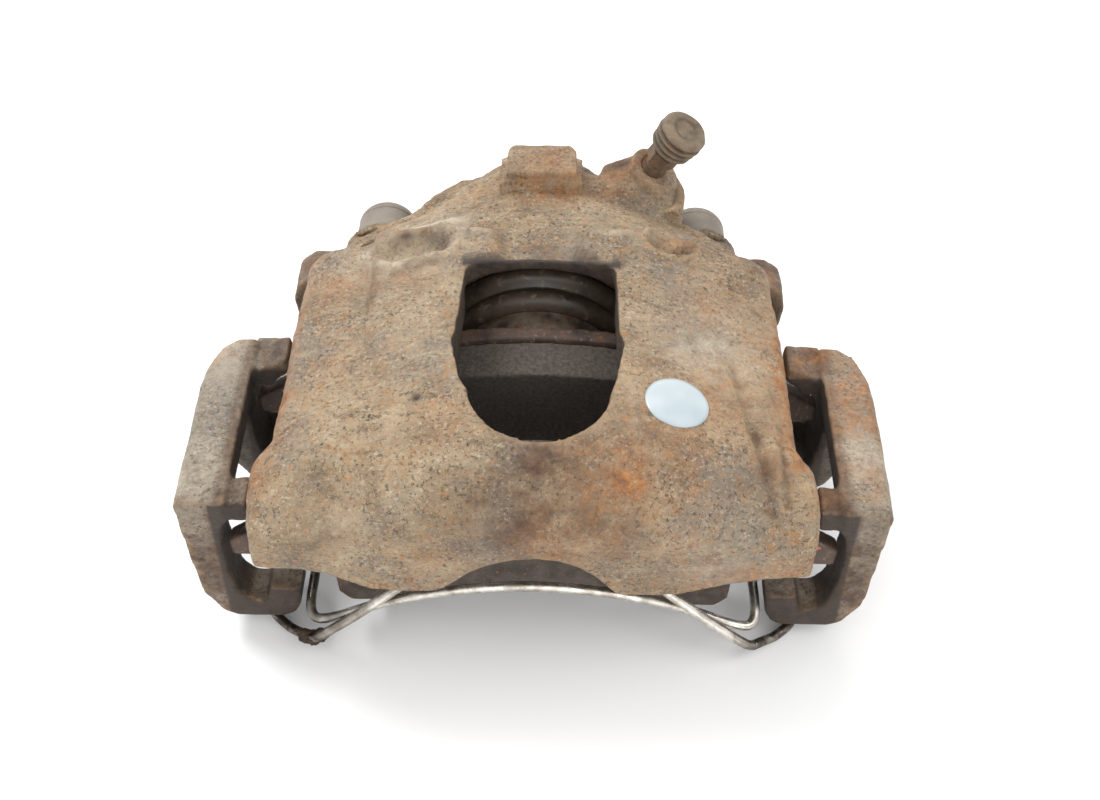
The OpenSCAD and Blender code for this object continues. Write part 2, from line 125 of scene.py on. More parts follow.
def crease(p, a, b, width):
    """1 along the line from a to b seen from above, fading over width, and the signed side of it."""
    a, b = np.array(a, float), np.array(b, float)
    d = (b - a) / np.linalg.norm(b - a)
    q = p[:, :2] - a
    along = np.clip(q @ d, 0, np.linalg.norm(b - a))
    off = q - along[:, None] * d
    return np.exp(-(off ** 2).sum(1) / width ** 2), q[:, 0] * d[1] - q[:, 1] * d[0]


def creases(p, *rows):
    """Several creases added up, each given as its two ends, its width and its strength."""
    return sum(strength * crease(p, a, b, width)[0] for a, b, width, strength in rows)


def points(mesh):
    """The mesh's points as they are stored."""
    a = np.empty(len(mesh.vertices) * 3, np.float32)
    mesh.vertices.foreach_get("co", a)
    return a.reshape(-1, 3).astype(float)


def drawing(mesh):
    """The points of a placed mesh, in mm from the datum."""
    return (points(mesh) - DATUM) * 1000


def put(mesh, p):
    """Writes points in mm from the datum back to the mesh."""
    mesh.vertices.foreach_set("co", (p / 1000 + DATUM).astype(np.float32).ravel())
    mesh.update()


def normals(mesh):
    a = np.empty(len(mesh.vertices) * 3, np.float32)
    mesh.vertex_normals.foreach_get("vector", a)
    return a.reshape(-1, 3).astype(float)


def averaged(mesh, v, rounds=1):
    """Each vertex's value replaced by the mean of its neighbours', a number of times over."""
    e = np.empty(len(mesh.edges) * 2, np.int64)
    mesh.edges.foreach_get("vertices", e)
    e = e.reshape(-1, 2)
    n = len(mesh.vertices)
    degree = np.maximum(np.bincount(e.ravel(), minlength=n), 1)
    v = v.reshape(n, -1)
    for _ in range(rounds):
        columns = []
        for k in range(v.shape[1]):
            total = np.bincount(e[:, 0], v[e[:, 1], k], n) + np.bincount(e[:, 1], v[e[:, 0], k], n)
            columns.append(total / degree)
        v = np.stack(columns, 1)
    return v


def store(mesh, **masks):
    """Keeps each mask, from 0 to 1, as a point attribute that the materials read."""
    for name, value in masks.items():
        a = mesh.attributes.new(name, "FLOAT", "POINT")
        a.data.foreach_set("value", np.clip(value, 0, 1).astype(np.float32))


def edges_mask(mesh, p, n):
    """How sharply the surface turns outward at each vertex, from 0 to 1."""
    out = ((p - averaged(mesh, p, 3)) * n).sum(1)
    return averaged(mesh, ease(out, 0.03, 0.22), 2)[:, 0]


def new_object(name, mesh):
    obj = bpy.data.objects.new(name, mesh)
    bpy.context.scene.collection.objects.link(obj)
    return obj


def smooth_faces(mesh):
    mesh.polygons.foreach_set("use_smooth", np.ones(len(mesh.polygons), bool))
    mesh.update()


def cast_copy(node, name, voxel, rounds):
    """A CAD node rebuilt as one even skin (voxel in metres), its corners softened as in a casting."""
    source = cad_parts[node]
    mesh = source.data.copy()
    bm = bmesh.new()
    bm.from_mesh(mesh)
    bmesh.ops.remove_doubles(bm, verts=bm.verts, dist=2e-6)
    bm.to_mesh(mesh)
    bm.free()
    mesh.materials.clear()
    work = new_object(name + "_work", mesh)
    remesh = work.modifiers.new("skin", "REMESH")
    remesh.mode = "VOXEL"
    remesh.voxel_size = voxel
    soften = work.modifiers.new("soften", "SMOOTH")
    soften.factor = 0.5
    soften.iterations = rounds
    seen = work.evaluated_get(bpy.context.evaluated_depsgraph_get())
    result = bpy.data.meshes.new_from_object(seen)
    bpy.data.objects.remove(work)
    result.name = name
    smooth_faces(result)
    return new_object(name, result)


def finish_piece(obj, body, slot, material, *nodes):
    """Gives a piece its material, its body (None for no body) and the CAD nodes it replaces."""
    obj.data.materials.clear()
    obj.data.materials.append(material)
    if body:
        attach(obj, body)
    if nodes:
        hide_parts(*nodes)


# ---------------------------------------------------------------- materials
def srgb(r, g, b):
    """A colour given in 0 to 255 as it looks on screen."""
    return tuple(c / 12.92 if c <= 0.04045 else ((c + 0.055) / 1.055) ** 2.4
                 for c in (r / 255, g / 255, b / 255)) + (1.0,)


class Surface:
    """A procedural material in object coordinates, which are the row frame in metres."""

    def __init__(self, name, roughness=0.8, metallic=0.0):
        self.material = bpy.data.materials.new(name)
        self.material.use_nodes = True
        self.tree = self.material.node_tree
        self.shader = self.tree.nodes["Principled BSDF"]
        self.shader.inputs["Roughness"].default_value = roughness
        self.shader.inputs["Metallic"].default_value = metallic
        self.place = self.tree.nodes.new("ShaderNodeTexCoord").outputs["Object"]
        self.normal = None

    def link(self, value, socket):
        if isinstance(value, bpy.types.NodeSocket):
            self.tree.links.new(value, socket)
        else:
            socket.default_value = value

    def noise(self, scale, detail=5.0, roughness=0.6, shift=0.0, distortion=0.0, stretch=(1, 1, 1)):
        move = self.tree.nodes.new("ShaderNodeMapping")
        self.link(self.place, move.inputs["Vector"])
        move.inputs["Location"].default_value = (shift, shift * 0.7, -shift)
        move.inputs["Scale"].default_value = stretch
        n = self.tree.nodes.new("ShaderNodeTexNoise")
        self.link(move.outputs["Vector"], n.inputs["Vector"])
        n.inputs["Scale"].default_value = scale
        n.inputs["Detail"].default_value = detail
        n.inputs["Roughness"].default_value = roughness
        n.inputs["Distortion"].default_value = distortion
        return n.outputs["Fac"]

    def cells(self, scale):
        n = self.tree.nodes.new("ShaderNodeTexVoronoi")
        self.link(self.place, n.inputs["Vector"])
        n.inputs["Scale"].default_value = scale
        return n.outputs["Distance"]

    def attribute(self, name):
        n = self.tree.nodes.new("ShaderNodeAttribute")
        n.attribute_name = name
        return n.outputs["Fac"]

    def step(self, value, low, high, start=0.0, end=1.0):
        n = self.tree.nodes.new("ShaderNodeMapRange")
        n.interpolation_type = "SMOOTHSTEP"
        self.link(value, n.inputs["Value"])
        ends = {"From Min": low, "From Max": high, "To Min": start, "To Max": end}
        for socket, number in ends.items():
            n.inputs[socket].default_value = number
        return n.outputs["Result"]

    def times(self, a, b):
        n = self.tree.nodes.new("ShaderNodeMath")
        n.operation = "MULTIPLY"
        n.use_clamp = True
        self.link(a, n.inputs[0])
        self.link(b, n.inputs[1])
        return n.outputs[0]

    def ramp(self, value, *stops):
        n = self.tree.nodes.new("ShaderNodeValToRGB")
        self.link(value, n.inputs["Fac"])
        marks = n.color_ramp.elements
        while len(marks) < len(stops):
            marks.new(0.5)
        for mark, (at, colour) in zip(marks, stops):
            mark.position = at
            mark.color = colour
        return n.outputs["Color"]

    def over(self, amount, below, above):
        """The colour above laid over the colour below by that amount."""
        n = self.tree.nodes.new("ShaderNodeMix")
        n.data_type = "RGBA"
        self.link(amount, n.inputs[0])
        self.link(below, n.inputs[6])
        self.link(above, n.inputs[7])
        return n.outputs[2]

    def bump(self, height, distance, strength=1.0):
        n = self.tree.nodes.new("ShaderNodeBump")
        self.link(height, n.inputs["Height"])
        n.inputs["Distance"].default_value = distance
        n.inputs["Strength"].default_value = strength
        if self.normal is not None:
            self.link(self.normal, n.inputs["Normal"])
        self.normal = n.outputs["Normal"]

    def done(self, colour, roughness=None):
        self.link(colour, self.shader.inputs["Base Color"])
        if roughness is not None:
            self.link(roughness, self.shader.inputs["Roughness"])
        if self.normal is not None:
            self.link(self.normal, self.shader.inputs["Normal"])
        return self.material


def cast_iron(name, deep, mid, light, mottle, shift):
    """Rusty cast iron in three tones; mottle is how orange it is, and shift moves all its noise."""
    s = Surface(name)
    deep, mid, light = srgb(*deep), srgb(*mid), srgb(*light)
    colour = s.ramp(s.noise(42, 7, 0.72, shift, 0.5), (0.30, deep), (0.50, mid), (0.70, light))
    grey = s.step(s.noise(24, 5, 0.65, shift + 0.31), 0.47, 0.62)
    colour = s.over(s.times(grey, 0.6), colour, srgb(120, 115, 106))
    # short streaks across the casting
    streak = s.noise(150, 6, 0.75, shift + 1.9, 0.4, (0.45, 1.5, 1.0))
    colour = s.over(s.times(s.step(streak, 0.52, 0.66), 0.45), colour, light)
    colour = s.over(s.times(s.step(streak, 0.48, 0.36), 0.50), colour, deep)
    # orange bloom, then the small rust freckles and the pale and dark grains of the cast skin
    bloom = s.step(s.noise(70, 10, 0.8, shift + 0.5, 0.6), 0.53, 0.66)
    colour = s.over(s.times(bloom, 0.72 * mottle), colour, srgb(164, 118, 64))
    patchy = s.step(s.noise(60, 5, 0.7, shift + 2.7), 0.34, 0.60, 0.45, 1.0)
    freckle = s.step(s.noise(480, 6, 0.8, shift + 0.9), 0.55, 0.62)
    colour = s.over(s.times(freckle, 0.72 * mottle), colour, srgb(176, 116, 56))
    pale = s.step(s.noise(850, 5, 0.8, shift + 1.4), 0.53, 0.62)
    colour = s.over(s.times(s.times(pale, patchy), 0.60), colour, srgb(204, 190, 166))
    pit = s.step(s.noise(800, 6, 0.8, shift + 2.1), 0.48, 0.39)
    colour = s.over(s.times(s.times(pit, patchy), 0.95), colour, srgb(60, 47, 37))
    # places marked on the mesh, broken up by noise: chalky patches with painted highlight on crests,
    # brown stains with painted shade in creases, rust, worn edges, and painted shade in recesses
    # pale patches: chalky wear, and on the housing's crests a painted highlight
    chalk_and_highlight = s.times(s.attribute("pale"), s.step(s.noise(160, 7, 0.75, shift), 0.34, 0.6, 0.15, 1.0))
    colour = s.over(chalk_and_highlight, colour, srgb(206, 194, 174))
    # dark brown: stains, and painted shade in the housing's creases and hollows and in the carrier's
    # channels
    breakup = s.step(s.noise(120, 7, 0.75, shift + 0.6), 0.30, 0.58, 0.3, 1.0)
    brown = s.ramp(s.noise(340, 6, 0.7), (0.35, srgb(58, 43, 33)), (0.65, srgb(104, 78, 58)))
    colour = s.over(s.times(s.attribute("stain"), breakup), colour, brown)
    breakup = s.step(s.noise(190, 8, 0.78, shift + 0.2), 0.36, 0.62, 0.12, 1.0)
    flakes = s.ramp(s.noise(300, 7, 0.75, shift + 0.7), (0.32, srgb(96, 54, 30)),
                    (0.5, srgb(158, 98, 46)), (0.68, srgb(194, 138, 74)))
    colour = s.over(s.times(s.attribute("rust"), breakup), colour, flakes)
    breakup = s.step(s.noise(140, 6, 0.7, shift + 0.4), 0.40, 0.68, 0.05, 0.6)
    colour = s.over(s.times(s.attribute("edge"), breakup), colour, srgb(174, 140, 104))
    # painted shade: dark where the mesh's dark mask marks recesses, gaps and faces that look down
    painted_shade = s.ramp(s.noise(300, 6, 0.7), (0.35, srgb(36, 30, 27)), (0.65, srgb(74, 60, 50)))
    colour = s.over(s.attribute("dark"), colour, painted_shade)
    s.bump(s.noise(150, 7, 0.75, shift), 0.0016, 0.75)
    s.bump(s.noise(480, 6, 0.78, shift), 0.0012, 0.95)
    s.bump(s.cells(460), 0.0004, 0.6)
    return s.done(colour, s.step(s.noise(300, 4), 0.3, 0.7, 0.50, 0.82))


def dull(name, dark, light, scale=180, roughness=(0.5, 0.8), metallic=0.0, rust=0.0, grain=0.0002,
         darkening=False):
    """Metal, rubber or plastic gone dirty: two tones, dust, optional rust spots and a fine grain, and
    optional painted shade where the mesh's dark mask is set.
    """
    s = Surface(name, metallic=metallic)
    colour = s.ramp(s.noise(scale, 6, 0.65), (0.32, srgb(*dark)), (0.68, srgb(*light)))
    dust = s.step(s.noise(scale * 4, 4, 0.6, 0.6), 0.56, 0.72)
    colour = s.over(s.times(dust, 0.35), colour, srgb(150, 132, 112))
    if rust:
        start = 0.66 - 0.22 * rust
        spots = s.step(s.noise(scale * 1.6, 6, 0.72, 1.3), start, start + 0.10)
        orange = s.ramp(s.noise(scale * 3), (0.35, srgb(92, 50, 26)), (0.65, srgb(172, 100, 48)))
        colour = s.over(spots, colour, orange)
    if darkening:
        # painted shade where the mesh's dark mask is set
        colour = s.over(s.attribute("dark"), colour, srgb(38, 31, 26))
    s.bump(s.noise(scale * 5, 5, 0.65), grain, 0.6)
    return s.done(colour, s.step(s.noise(scale * 2, 4), 0.3, 0.7, *roughness))


housing_iron = cast_iron("housing_iron", (96, 80, 62), (153, 132, 104), (184, 164, 133), 0.95, 0.0)
carrier_iron = cast_iron("carrier_iron", (98, 89, 77), (154, 143, 125), (184, 173, 155), 0.50, 3.0)
plate_paint = dull("plate_paint", (48, 38, 33), (88, 68, 55), 160, (0.55, 0.8), rust=0.3)
friction_mix = dull("friction_mix", (46, 41, 38), (88, 79, 71), 900, (0.8, 0.95), grain=0.0004)
boot_rubber = dull("boot_rubber", (46, 38, 32), (84, 70, 58), 90, (0.36, 0.56), grain=0.00008)
bush_rubber = dull("bush_rubber", (98, 89, 80), (128, 118, 106), 90, (0.5, 0.68), rust=0.12,
                   grain=0.0001)
cap_rubber = dull("cap_rubber", (78, 65, 51), (122, 105, 84), 240, (0.5, 0.72), rust=0.3, grain=0.0004,
                  darkening=True)
seal_rubber = dull("seal_rubber", (26, 25, 24), (42, 40, 38), 200, (0.45, 0.6), grain=0.0001)
piston_steel = dull("piston_steel", (70, 60, 52), (138, 122, 106), 140, (0.35, 0.6), 0.5, 0.45, 0.0001)
bleed_steel = dull("bleed_steel", (74, 58, 46), (120, 98, 78), 300, (0.55, 0.8), 0.3, 0.45, 0.0003)
pin_steel = dull("pin_steel", (110, 106, 98), (160, 155, 146), 220, (0.35, 0.5), 0.8, 0.2, 0.0001)
strip_steel = dull("strip_steel", (60, 53, 47), (98, 89, 80), 260, (0.45, 0.65), 0.5, 0.35, 0.0001)
dirt = dull("dirt", (34, 26, 20), (84, 64, 48), 900, (0.85, 0.95), grain=0.0008)


def wire_metal():
    s = Surface("wire_steel", metallic=0.9)
    colour = s.ramp(s.noise(160, 5, 0.6), (0.38, srgb(160, 153, 143)), (0.62, srgb(218, 213, 204)))
    tarnish = s.step(s.noise(55, 6, 0.7, 0.4, 0.8), 0.50, 0.62)
    colour = s.over(s.times(tarnish, 0.45), colour, srgb(112, 98, 82))
    # darker where the mesh's dark mask is set: dirt at the left bend, and the low bends and the loop's
    # far end
    darkening = s.times(s.attribute("dark"), s.step(s.noise(240, 6), 0.3, 0.55, 0.45, 1.0))
    colour = s.over(darkening, colour, srgb(60, 50, 42))
    s.bump(s.noise(1500, 4), 0.00006, 0.5)
    return s.done(colour, s.step(s.noise(300, 4), 0.35, 0.65, 0.24, 0.48))


def sticker_film():
    s = Surface("sticker_film", roughness=0.28)
    colour = s.ramp(s.noise(60, 2, 0.4, 0.2), (0.35, srgb(152, 166, 172)), (0.65, srgb(180, 186, 188)))
    smudge = s.step(s.noise(420, 5, 0.7), 0.62, 0.76)
    colour = s.over(s.times(smudge, 0.4), colour, srgb(176, 176, 168))
    s.bump(s.noise(240, 3), 0.00008, 0.4)
    return s.done(colour)


# ---------------------------------------------------------------- housing
def hold_bore(p, x, z, low, high, radius, reach):
    """Holds the skin of a round hole along Y out at its radius, between two Y's."""
    dx, dz = p[:, 0] - x, p[:, 2] - z
    r = np.sqrt(dx ** 2 + dz ** 2)
    inside = (p[:, 1] > low) & (p[:, 1] < high) & (r < radius) & (r > radius - reach)
    grow = np.where(inside, radius / np.maximum(r, 1e-6), 1)
    p[:, 0] = x + dx * grow
    p[:, 2] = z + dz * grow


def neck_lip(side):
    """The Y where the neck over the cylinder steps down, by the distance from the middle."""
    return 58.5 + 3.5 * ease(side, 12, 40)


def housing_relief(p, n):
    """Height in mm that the casting's own features add to the upper surface."""
    x, y, z = p.T
    side = np.abs(x)
    up = ease(n[:, 2], 0.2, 0.6) * ease(z, 48, 58)
    # the neck lies below both cheeks of the bridge, but its block and the bleed screw's boss stay up
    lip = neck_lip(side)
    behind = ease(y, lip - 1.6, lip + 1.6) * (1 - (side < 13.5) * (y > 83.2))
    behind *= ease(np.hypot(x - BLEED_AT[0], y - BLEED_AT[1]), 6.5, 10.5)
    between = (1 - ease(side, 9.5, 14.5)) * ease(y, 42, 47) * (1 - ease(y, 70, 82))
    d = -3.4 * np.maximum(behind, between)
    d += 1.6 * hump(y, lip - 2.2, 2.2) * ease(side, 12, 16) * (1 - ease(side, 44, 56))
    # left cheek: hollow with a rounded rim, a ridge under it and the upright crease beside it
    hollow = oval(p, *LEFT_HOLLOW)
    d -= 3.8 * (1 - ease(hollow, 0.55, 1.05))
    d += 1.5 * hump(hollow, 1.2, 0.16)
    near, flank = crease(p, (-51.5, 68), (-51, 26), 6)
    d -= 2.2 * near * ease(flank, -0.9, 0.9) * (y > 24)
    d += creases(p, ((-44, 42.5), (-31, 45.5), 1.3, 1.5), ((-57, 64), (-28, 69), 2.2, 1.9))
    # right cheek: oval dimple with a lug in it
    dimple = oval(p, *RIGHT_DIMPLE)
    d -= 3.0 * (1 - ease(dimple, 0.55, 1.1))
    d += 1.1 * hump(dimple, 1.15, 0.15)
    d += 2.8 * (1 - ease(oval(p, 42.5, 57.5, 3.6, 3), 0.5, 1.1))
    # folds down the right side, with a ridge, and ripples over both front corners
    d -= creases(
        p, ((57, 6), (63, -20), 1.76, 1.32), ((62, -16), (66, -40), 1.92, 1.68),
        ((69, -20), (70, -38), 1.44, 1.20), ((56, -36), (70, -43), 1.44, 0.96),
        ((-50, 22), (-47, -2), 1.60, 0.60), ((-60, -34), (-46, -42), 1.92, 0.72))
    d += 0.9 * crease(p, (66, 2), (68, -30), 2.0)[0]
    d -= 1.2 * blob(p, *CAST_PIT, 77, 1.3)
    # shallow saddle in front of the window
    d -= 1.3 * np.exp(-oval(p, 3, -41, 26, 9) ** 2) * (1 - ease(y, -38, -33))
    return d * up


def housing_rust(p):
    """Rust at the front corners, down both side edges and round the bleed screw."""
    x, y, z = p.T
    rust = blobs(
        p, (-78, -27, 60, 9, 1.0), (-75, -17, 64, 7, 0.9), (-73, -4, 66, 5, 0.6), (73, 24, 66, 5, 0.8),
        (73, 6, 66, 6, 0.9), (74, -10, 65, 7, 1.0), (78, -26, 60, 10, 1.0), (70, -43, 42, 8, 0.8),
        (60, -43, 36, 7, 0.9), (49, -43, 32, 8, 1.0), (36.8, 93, 77, 6, 1.0), (42, 57, 73, 6, 0.9),
        (22, 91, 76, 9, 0.8), (2, 85, 74, 9, 0.6), (58, 0, 72, 20, 0.35), (45, -25, 74, 18, 0.3),
        (-64, 40, 70, 12, 0.35), (10, 92, 80, 10, 0.5), (-24, -20, 78, 8, 0.6), (14, -40, 70, 14, 0.35),
        (28, -36, 70, 12, 0.3), (-38, 38, 76, 6, 0.4), (52, 30, 73, 12, 0.35), (-60, 5, 70, 10, 0.3),
        (60, 60, 67, 7, 0.6), (-30, -45, 40, 14, 0.3), (46, -44, 52, 10, 0.4), (24, -40, 66, 16, 0.4),
        (4, -47, 54, 10, 0.5), (50, -6, 74, 9, 0.5))
    rust += 0.75 * hump(np.abs(x), 73, 2.2) * ease(y, -14, -8) * ease(z, 58, 63)
    patches = ease(fbm(p, 9, 3, 161), -0.35, 0.15)
    rust += 0.9 * hump(x, 73.5, 3.0) * ease(y, -34, -24) * ease(z, 54, 59) * patches
    return rust * (0.75 + 0.5 * fbm(p, 9, 3, 51))


def housing_stain(p, n):
    """Dark brown: painted shade in thin bands along the relief, along the window's far edge and behind
    the neck's step, and broad patches that are partly stains and partly painted shade in hollows and
    gaps.
    """
    x, y, z = p.T
    side = np.abs(x)
    # painted shade in thin bands along the creases and folds, the neck's step and the walls of the
    # hollow and the dimple
    crease_shade = creases(
        p, ((-50.5, 64), (-50, 28), 1.2, 0.6), ((57, 6), (63, -20), 1.2, 0.5),
        ((62, -16), (66, -40), 1.2, 0.5), ((69, -20), (70, -38), 1.0, 0.5),
        ((-44, 40.5), (-31, 43.5), 1.2, 0.5))
    crease_shade += 0.7 * hump(y, neck_lip(side) + 1.2, 1.5) * ease(side, 12, 17) * (1 - ease(side, 50, 58))
    crease_shade += 0.55 * hump(oval(p, *LEFT_HOLLOW), 0.85, 0.16) * (y > 49)
    crease_shade += 0.6 * hump(oval(p, *RIGHT_DIMPLE), 0.85, 0.2)
    # broad brown patches: stains, and painted shade in the hollows and gaps
    stain = crease_shade * (n[:, 2] > 0.1) + blobs(
        p, (4, -42, 66, 14, 0.9), (24, -46, 56, 12, 0.5), (-12, -45, 58, 13, 0.6), (2, -34, 75, 9, 0.7),
        (0, 90, 80, 11, 0.45), (14, 47, 77, 5, 0.5), (0, 48, 77, 7, 0.6), (26, 96, 73, 6, 0.8),
        (-12, 84, 78, 5, 0.5), (-39, 53, 74, 6, 0.55), (66, -30, 66, 8, 0.5), (-50, 36, 75, 7, 0.4))
    # painted shade along the window's far edge and behind the neck's step
    stain += 0.9 * hump(y, 43.5, 2.6) * (np.abs(x - 1) < 25)
    stain += 0.45 * hump(y, 60, 2) * ease(side, 10, 20)
    return stain * (0.8 + 0.6 * fbm(p, 7, 3, 57))


def housing_chalk_and_highlight(p):
    """Painted highlight along the crests: both ridge crests, the bulge before the neck's step, the
    hollow's lower rim and the spots on them; and chalky wear in broad patches.
    """
    x, y, z = p.T
    side = np.abs(x)
    # painted highlight along both ridge crests, the bulge before the neck's step and the hollow's lower
    # rim
    ridge_highlight = creases(p, ((-57, 64.5), (-28, 68), 2.0, 0.9), ((-44, 43), (-31, 46), 1.2, 0.6))
    ridge_highlight += 0.5 * hump(y, neck_lip(side) - 2.5, 1.6) * ease(side, 14, 18) * (1 - ease(side, 46, 54))
    ridge_highlight += 0.5 * hump(oval(p, *LEFT_HOLLOW), 1.2, 0.15) * (y < 55)
    return ridge_highlight * (z > 70) + blobs(
        p, (-48, 45, 76, 16, 0.30), (-42, 8, 76, 14, 0.15), (-53, -46, 60, 7, 0.15),
        (-30, 70, 76, 8, 0.7), (-46, 67, 72, 8, 0.5), (-37, 45, 76, 5, 0.45), (50, 12, 75, 14, 0.55),
        (-68, -38, 56, 7, 0.15), (50, -46, 44, 9, 0.35))


def housing_shade(p, n):
    """Painted shade in the room for disc and pads, on the window's walls, in the boot's seat, on the
    underside, in the small pit and in deep gaps.
    """
    x, y, z = p.T
    room = ease(PAD_ROOM_R + 3 - np.hypot(x, z - DISC_Z), 0, 2.4) * ease(y, -37, -32) * (y < 57)
    wall = (np.abs(x - WINDOW_X) < 26) * (y > -31) * (y < 44) * (z < 79.4)
    wall = wall * ease(np.abs(n[:, 2]), 0.75, 0.45)
    # a ragged dark band along the window's far wall, laid over that wall's painted shade
    darkening = 0.6 * hump(y, 44.5, 1.8) * ease(fbm(p, 5, 3, 151), -0.1, 0.3)
    far_wall = (0.95 * hump(y, 42.2, 1.5) + darkening) * (np.abs(x - WINDOW_X) < 24) * (z > 66)
    below = 0.75 * ease(n[:, 2], -0.25, -0.7)
    seat = (np.hypot(x, z - AXIS_Z) < 39) * (y > 35) * (y < 57)
    pit = blob(p, *CAST_PIT, 76.5, 1.6)
    gaps = blobs(p, (12, 46, 77, 3, 0.4), (26, 97, 72, 5, 0.5))
    return np.maximum.reduce([room * 0.95, wall * 0.9, far_wall, below, seat * 0.9, pit, gaps])


def make_housing():
    obj = cast_copy("housing", "housing_casting", 0.00075, 7)
    mesh = obj.data
    p, n = drawing(mesh), normals(mesh)
    x, y, z = p.T
    # the underside, the cylinder and the room for disc and pads keep the CAD's surface
    free = 1 - np.maximum.reduce([
        ease(n[:, 2], -0.1, -0.6), (np.hypot(x, z - AXIS_Z) < 34.5) * 1.0,
        (np.hypot(x, z - DISC_Z) < PAD_ROOM_R + 1) * (y > -40) * 1.0])
    rim = (np.abs(x - WINDOW_X) < 29) * (y > -33) * (y < 46) * ease(z, 60, 64)
    calm = free * (1 - 0.65 * averaged(mesh, rim, 4)[:, 0])
    d = housing_relief(p, n)
    d += calm * (0.40 * fbm(p, 22, 3, 11) + 0.20 * fbm(p, 6, 3, 21)) + free * 0.13 * fbm(p, 2.2, 2, 31)
    p += n * d[:, None]
    for sign in (-1, 1):
        hold_bore(p, sign * PIN_X, PIN_Z, 76, 97, 10.2, 1.4)
    hold_bore(p, 0, AXIS_Z, 56, 60.5, 33.3, 1.2)
    hold_bore(p, 0, AXIS_Z, 60.5, 97.5, 28.8, 1.2)
    put(mesh, p)
    n = normals(mesh)
    store(mesh, rust=housing_rust(p), pale=housing_chalk_and_highlight(p), stain=housing_stain(p, n),
          edge=edges_mask(mesh, p, n), dark=housing_shade(p, n))
    finish_piece(obj, "housing", "housing_iron", housing_iron, "housing")
    return obj


# ---------------------------------------------------------------- carrier
def make_carrier():
    obj = cast_copy("carrier", "carrier_casting", 0.0009, 5)
    mesh = obj.data
    p, n = drawing(mesh), normals(mesh)
    x, y, z = p.T
    side = np.abs(x)
    # the legs' outer faces and the ears are rough, and the channels stay close to the CAD's surface
    free = ease(side, 89, 93) + ease(y, 56, 60) * (side < 88)
    rough = 0.32 * fbm(p, 14, 3, 61) + 0.16 * fbm(p, 4, 3, 71)
    p += n * (np.clip(free, 0.25, 1) * rough)[:, None]
    for sign in (-1, 1):
        hold_bore(p, sign * PIN_X, PIN_Z, 57, 73.5, 5.0, 1.0)
        hold_bore(p, sign * BOLT_X, BOLT_Z, 57, 73.5, 6.0, 1.0)
    put(mesh, p)
    n = normals(mesh)
    side = np.abs(x)
    rust = blobs(
        p, (81, 27, 54, 6, 1.0), (82, 37, 54, 6, 1.0), (98, 24, 50, 9, 0.9), (98, 6, 52, 11, 0.9),
        (96, -18, 52, 7, 0.6), (82, -27, 52, 5, 0.8), (-98, 26, 50, 7, 0.4), (72, 66, 54, 7, 0.5),
        (-72, 66, 54, 7, 0.5))
    rust *= 0.8 + 0.6 * fbm(p, 8, 3, 81)
    pale = blobs(p, (-96, 24, 53, 9, 0.55), (-98, -20, 52, 8, 0.4), (97, -14, 52, 9, 0.4))
    # painted shade: the channels' insides, faces that look down and the faces round the disc and pads
    channel = (side < 91.5) * (z < 52.6) * (y < 46) * ease(n[:, 2], 0.85, 0.5)
    below = 0.6 * ease(n[:, 2], -0.3, -0.8)
    between = 0.7 * ease(PAD_ROOM_R + 0.8 - np.hypot(x, z - DISC_Z), 0, 1.5) * (y > -21) * (y < 22)
    # dark brown between the legs above 44 mm and at the outboard end, and painted shade in the channels
    stain = 0.85 * (side < 90) * ease(z, 38, 44) + 0.9 * channel
    stain += 0.5 * hump(y, -33, 3) + 0.5 * (y < -21) * (z < 40)
    store(mesh, rust=rust, stain=averaged(mesh, stain, 2)[:, 0], pale=pale,
          edge=edges_mask(mesh, p, n), dark=np.maximum.reduce([channel * 0.92, below, between]))
    finish_piece(obj, "carrier", "carrier_iron", carrier_iron, "carrier")


# ---------------------------------------------------------------- pads and boot
def make_pad_piece(node, body, slot, material, rounds, rough):
    obj = cast_copy(node, node + "_worn", 0.0008, rounds)
    mesh = obj.data
    p, n = drawing(mesh), normals(mesh)
    put(mesh, p + n * (rough * fbm(p, 5, 3, 91))[:, None] - n * 0.05)
    finish_piece(obj, body, slot, material, node)


def along_y(x, z):
    """Places something turned about Z on an axis along Y."""
    return Matrix.Translation((x, 0, z)) @ Matrix.Rotation(math.radians(-90), 4, "X")


def turned(name, profile, place, segments):
    """A ring or cap turned from a closed outline of [radius, height] and placed by a matrix, in mm."""
    bm = bmesh.new()
    rings = []
    for k in range(segments):
        a = 2 * math.pi * k / segments
        rings.append([bm.verts.new(place @ Vector((r * math.cos(a), r * math.sin(a), h)))
                      for r, h in profile])
    for k in range(segments):
        one, two = rings[k], rings[(k + 1) % segments]
        for j in range(len(profile)):
            i = (j + 1) % len(profile)
            bm.faces.new((one[j], two[j], two[i], one[i]))
    bmesh.ops.remove_doubles(bm, verts=bm.verts, dist=1e-4)
    bmesh.ops.dissolve_degenerate(bm, edges=bm.edges, dist=1e-4)
    bmesh.ops.recalc_face_normals(bm, faces=bm.faces)
    mesh = bpy.data.meshes.new(name)
    bm.to_mesh(mesh)
    bm.free()
    put(mesh, points(mesh))
    smooth_faces(mesh)
    return new_object(name, mesh)


def rounded(corners, rounds=2, closed=True):
    """Corner cutting, which turns a coarse outline into a smooth one."""
    p = np.array(corners, float)
    for _ in range(rounds):
        q = np.roll(p, -1, 0)
        p = np.stack([0.75 * p + 0.25 * q, 0.25 * p + 0.75 * q], 1).reshape(-1, p.shape[1])
        if not closed:
            p = p[:-2]
            p = np.concatenate([[corners[0]], p, [corners[-1]]])
    return p


